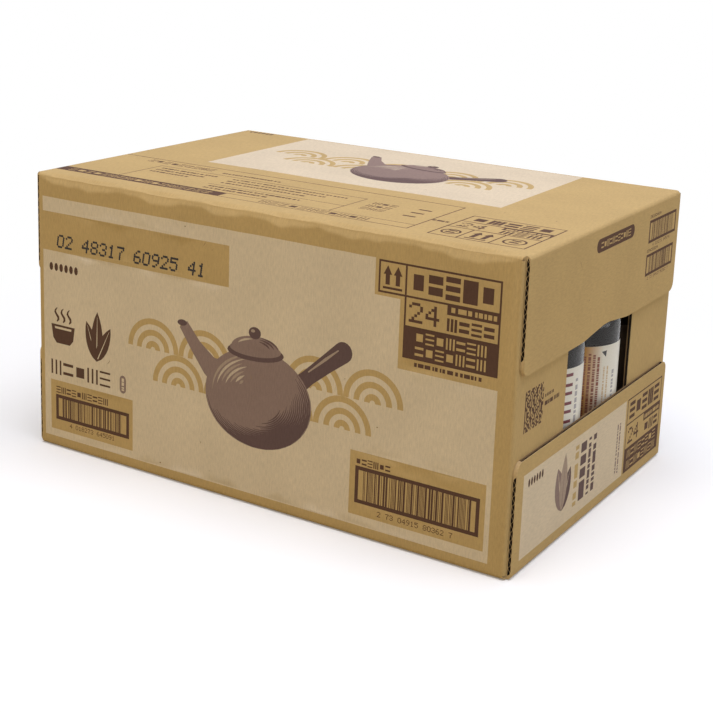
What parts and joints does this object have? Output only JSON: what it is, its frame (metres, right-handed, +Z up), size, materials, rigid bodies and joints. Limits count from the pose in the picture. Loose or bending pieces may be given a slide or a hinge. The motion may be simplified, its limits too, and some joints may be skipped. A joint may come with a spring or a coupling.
{
  "type": "case of bottled tea",
  "caption": "Closed wrap-around corrugated case with folded end flaps, packed tight with bottles of tea that show in the gap at each end.",
  "frame": {"origin": "middle of the underside of the case", "axes": "+X along the case, +Y from the front panel to the back panel, +Z up"},
  "size_m": [0.4188, 0.2802, 0.22],
  "materials": {
    "board": "matt brown kraft corrugated board, printed",
    "bottle": "clear bottle wall with dark roasted tea behind it",
    "tea": "dark roasted tea",
    "label": "off-white printed film",
    "cap": "dark brown moulded plastic"
  },
  "bodies": {
    "root": {"carton": "board", "bottle_1_1": "bottle", "bottle_1_2": "bottle", "bottle_1_3": "bottle", "bottle_1_4": "bottle", "bottle_2_1": "bottle", "bottle_2_2": "bottle", "bottle_2_3": "bottle", "bottle_2_4": "bottle", "bottle_3_1": "bottle", "bottle_3_2": "bottle", "bottle_3_3": "bottle", "bottle_3_4": "bottle", "bottle_4_1": "bottle", "bottle_4_2": "bottle", "bottle_4_3": "bottle", "bottle_4_4": "bottle", "bottle_5_1": "bottle", "bottle_5_2": "bottle", "bottle_5_3": "bottle", "bottle_5_4": "bottle", "bottle_6_1": "bottle", "bottle_6_2": "bottle", "bottle_6_3": "bottle", "bottle_6_4": "bottle", "cap_1_1": "cap", "cap_1_2": "cap", "cap_1_3": "cap", "cap_1_4": "cap", "cap_2_1": "cap", "cap_2_2": "cap", "cap_2_3": "cap", "cap_2_4": "cap", "cap_3_1": "cap", "cap_3_2": "cap", "cap_3_3": "cap", "cap_3_4": "cap", "cap_4_1": "cap", "cap_4_2": "cap", "cap_4_3": "cap", "cap_4_4": "cap", "cap_5_1": "cap", "cap_5_2": "cap", "cap_5_3": "cap", "cap_5_4": "cap", "cap_6_1": "cap", "cap_6_2": "cap", "cap_6_3": "cap", "cap_6_4": "cap", "tea_1_2": "tea", "tea_1_3": "tea", "tea_6_2": "tea", "tea_6_3": "tea", "label_1_2": "label", "label_1_3": "label", "label_6_2": "label", "label_6_3": "label"}
  },
  "joints": []
}
